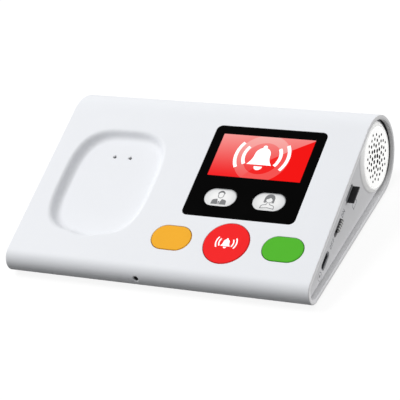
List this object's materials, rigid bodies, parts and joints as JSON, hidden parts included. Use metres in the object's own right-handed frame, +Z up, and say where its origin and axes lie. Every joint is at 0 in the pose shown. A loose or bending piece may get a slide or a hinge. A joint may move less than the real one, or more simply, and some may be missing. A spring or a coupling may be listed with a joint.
{
  "type": "medical alert base station",
  "caption": "Wedge-shaped desktop alert base with a pendant charging cradle, a screen, picture keys, call keys and a recessed side speaker with ports.",
  "frame": {"origin": "middle of the footprint, on the surface that the feet stand on", "axes": "+X to the right across the front, +Y from the front nose to the rear edge, +Z up"},
  "size_m": [0.1527, 0.1086, 0.0392],
  "materials": {
    "shell_white": "satin moulded, bluish white",
    "base_white": "matte moulded",
    "panel_grey": "matte moulded, light grey",
    "grille_white": "white powder coat",
    "lens_black": "polished, printed black behind",
    "display": "lit picture under clear glass",
    "key_red": "satin moulded",
    "key_yellow": "satin moulded",
    "key_green": "satin moulded",
    "key_silver": "pearl silver",
    "black_plastic": "matte moulded",
    "steel": "stamped",
    "magnet": "plated",
    "gold": "gold plated",
    "board": "green solder mask",
    "rubber": "matte",
    "card": "printed black",
    "battery_wrap": "shrink wrap",
    "foam": "closed-cell foam",
    "flex": "amber film",
    "wire_red": "insulated",
    "wire_black": "insulated"
  },
  "bodies": {
    "housing": {"wrap_cover": "shell_white", "base_plate": "base_white", "base_screws": "steel", "rubber_feet": "rubber", "left_end_panel": "panel_grey", "right_end_panel": "panel_grey", "speaker_grille": "grille_white", "speaker_gasket": "foam", "speaker_frame": "steel", "speaker_cone": "black_plastic", "speaker_magnet": "magnet", "screen_lens": "lens_black", "display_module": "display", "display_flex": "flex", "key_switches": "steel", "main_board": "board", "board_screws": "steel", "modem_module": "steel", "processor_shield": "steel", "usb_socket": "steel", "power_switch_case": "black_plastic", "sim_socket": "steel", "reset_switch_case": "black_plastic", "charge_board": "board", "charge_pin_barrels": "gold", "battery": "battery_wrap", "battery_pads": "foam", "microphone": "steel", "microphone_boot": "rubber", "antenna": "flex", "speaker_leads": "wire_red", "battery_leads": "wire_red", "charge_leads": "wire_black", "microphone_leads": "wire_black", "antenna_lead": "wire_black"},
    "help_key": {"help_button": "key_red", "help_plunger": "black_plastic"},
    "yellow_key": {"yellow_button": "key_yellow", "yellow_plunger": "black_plastic"},
    "green_key": {"green_button": "key_green", "green_plunger": "black_plastic"},
    "left_photo_key": {"left_photo_button": "key_silver", "left_photo_plunger": "black_plastic"},
    "right_photo_key": {"right_photo_button": "key_silver", "right_photo_plunger": "black_plastic"},
    "switch_knob": {"power_knob": "black_plastic"},
    "card": {"sim_card": "card"},
    "left_pin": {"charge_pin_left": "gold"},
    "right_pin": {"charge_pin_right": "gold"},
    "reset_key": {"reset_plunger": "base_white"}
  },
  "joints": [
    {"name": "help_press", "type": "slide", "parent": "housing", "child": "help_key", "axis": [0, 0.3063, -0.9519], "range_m": [0, 0.0005], "stiffness_N_per_m": 3200},
    {"name": "yellow_press", "type": "slide", "parent": "housing", "child": "yellow_key", "axis": [0, 0.3063, -0.9519], "range_m": [0, 0.0005], "stiffness_N_per_m": 3200},
    {"name": "green_press", "type": "slide", "parent": "housing", "child": "green_key", "axis": [0, 0.3063, -0.9519], "range_m": [0, 0.0005], "stiffness_N_per_m": 3200},
    {"name": "left_photo_press", "type": "slide", "parent": "housing", "child": "left_photo_key", "axis": [0, 0.3063, -0.9519], "range_m": [0, 0.0005], "stiffness_N_per_m": 3200},
    {"name": "right_photo_press", "type": "slide", "parent": "housing", "child": "right_photo_key", "axis": [0, 0.3063, -0.9519], "range_m": [0, 0.0005], "stiffness_N_per_m": 3200},
    {"name": "power_slide", "type": "slide", "parent": "housing", "child": "switch_knob", "axis": [0, -0.9519, -0.3063], "range_m": [0, 0.0026]},
    {"name": "card_slide", "type": "slide", "parent": "housing", "child": "card", "axis": [1, 0, 0], "range_m": [0, 0.008]},
    {"name": "left_pin_press", "type": "slide", "parent": "housing", "child": "left_pin", "axis": [0, 0.3063, -0.9519], "range_m": [0, 0.0006], "stiffness_N_per_m": 900},
    {"name": "right_pin_press", "type": "slide", "parent": "housing", "child": "right_pin", "axis": [0, 0.3063, -0.9519], "range_m": [0, 0.0006], "stiffness_N_per_m": 900},
    {"name": "reset_press", "type": "slide", "parent": "housing", "child": "reset_key", "axis": [-1, 0, 0], "range_m": [0, 0.0003], "stiffness_N_per_m": 3000}
  ]
}
